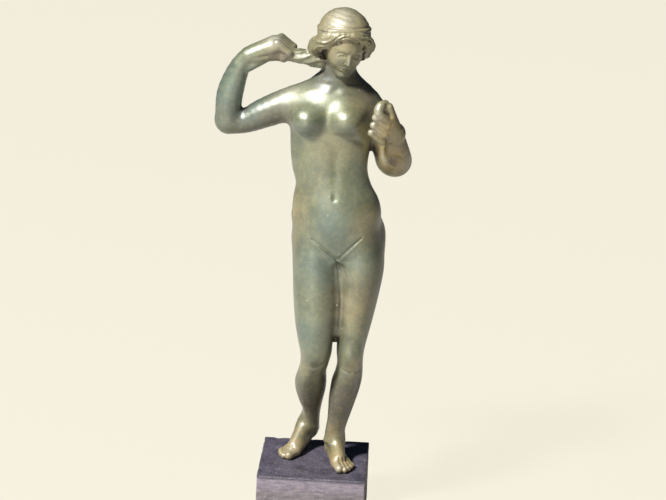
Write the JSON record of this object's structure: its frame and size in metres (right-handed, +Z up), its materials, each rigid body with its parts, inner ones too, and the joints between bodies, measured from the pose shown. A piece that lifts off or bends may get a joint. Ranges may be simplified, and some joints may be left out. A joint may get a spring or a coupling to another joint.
{
  "type": "statuette",
  "caption": "Bronze statuette of a standing nude Venus drawing out a lock of hair with the raised hand, on a square block of dark stone",
  "frame": {"origin": "centre of the plinth's underside", "axes": "+Z up along the figure, -Y the way its body faces, +X to its left"},
  "size_m": [0.1261, 0.07, 0.3408],
  "materials": {
    "bronze": "cast bronze with an olive to blue-green patina, softly polished by handling",
    "stone": "dark violet-black stone with pale specks, ground flat, edges worn"
  },
  "bodies": {
    "root": {"bronze_figure": "bronze", "stone_plinth": "stone"}
  },
  "joints": []
}
